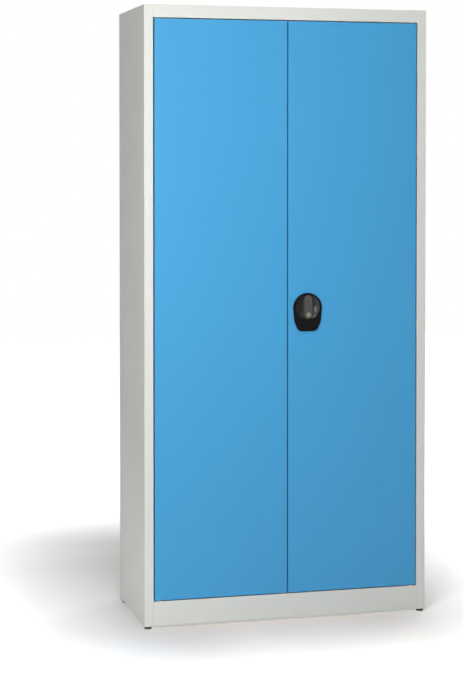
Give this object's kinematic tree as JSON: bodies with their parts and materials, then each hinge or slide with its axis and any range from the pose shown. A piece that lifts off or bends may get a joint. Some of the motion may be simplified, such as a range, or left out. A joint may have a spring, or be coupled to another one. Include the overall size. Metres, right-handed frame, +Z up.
{
  "type": "tool cabinet with doors",
  "caption": "Tall sheet-steel tool cabinet with two flush doors, shelves inside and a recessed swivel handle that drives top and bottom rods.",
  "frame": {"origin": "centre of the cabinet's bounding box at floor level, with the doors shut", "axes": "+Z up, +X to the right seen from the front, +Y from the doors towards the back"},
  "size_m": [0.93, 0.416, 1.95],
  "materials": {
    "body_paint": "light grey powder coat, fine orange peel",
    "door_paint": "sky blue powder coat, semi-gloss",
    "black_plastic": "black moulded plastic, semi-gloss",
    "dark_plastic": "charcoal moulded plastic, satin",
    "nickel": "nickel-plated brass, brushed face",
    "zinc_steel": "zinc-plated steel",
    "nylon": "natural nylon",
    "black_rubber": "black rubber, matt"
  },
  "bodies": {
    "carcass": {"back_panel": "body_paint", "base_panel": "body_paint", "door_buffers": "black_rubber", "feet": "black_rubber", "foot_plates": "zinc_steel", "pivot_bushes": "nylon", "shelf_1": "body_paint", "shelf_2": "body_paint", "shelf_3": "body_paint", "shelf_4": "body_paint", "shelf_clips_1": "zinc_steel", "shelf_clips_2": "zinc_steel", "shelf_clips_3": "zinc_steel", "shelf_clips_4": "zinc_steel", "side_panel_left": "body_paint", "side_panel_right": "body_paint", "top_panel": "body_paint", "upright_back_left": "body_paint", "upright_back_right": "body_paint", "upright_front_left": "body_paint", "upright_front_right": "body_paint"},
    "door_left": {"door_left": "door_paint", "door_stiffener_left": "door_paint", "pivots_left": "zinc_steel"},
    "door_right": {"bridge_screws": "zinc_steel", "door_right": "door_paint", "door_stiffener_right": "door_paint", "escutcheon": "black_plastic", "lock_bridge": "zinc_steel", "pivots_right": "zinc_steel", "rod_guide_lower": "zinc_steel", "rod_guide_upper": "zinc_steel"},
    "handle": {"crank_plate": "zinc_steel", "knob": "dark_plastic", "lock_cylinder": "nickel", "spindle": "zinc_steel", "spindle_fixing": "zinc_steel", "tongue": "zinc_steel"},
    "key_plug": {"key_plug": "nickel"},
    "rod_upper": {"rod_upper": "zinc_steel"},
    "rod_lower": {"rod_lower": "zinc_steel"}
  },
  "joints": [
    {"name": "door_left_hinge", "type": "hinge", "parent": "carcass", "child": "door_left", "pos_m": [-0.417, -0.1835, 0.9975], "axis": [0, 0, -1], "range_deg": [0, 110]},
    {"name": "door_right_hinge", "type": "hinge", "parent": "carcass", "child": "door_right", "pos_m": [0.417, -0.1835, 0.9975], "axis": [0, 0, 1], "range_deg": [0, 110]},
    {"name": "handle_turn", "type": "hinge", "parent": "door_right", "child": "handle", "pos_m": [0.065, -0.192, 0.9995], "axis": [0, 1, 0], "range_deg": [0, 90]},
    {"name": "key_turn", "type": "hinge", "parent": "handle", "child": "key_plug", "pos_m": [0.065, -0.192, 0.9755], "axis": [0, 1, 0], "range_deg": [0, 90]},
    {"name": "rod_upper_slide", "type": "slide", "parent": "door_right", "child": "rod_upper", "axis": [0, 0, 1], "range_m": [0, 0.02546]},
    {"name": "rod_lower_slide", "type": "slide", "parent": "door_right", "child": "rod_lower", "axis": [0, 0, -1], "range_m": [0, 0.02546]}
  ],
  "couplings": [
    {"joint": "rod_upper_slide", "follows": "handle_turn", "m_per_rad": 0.016206},
    {"joint": "rod_lower_slide", "follows": "handle_turn", "m_per_rad": 0.016206}
  ]
}
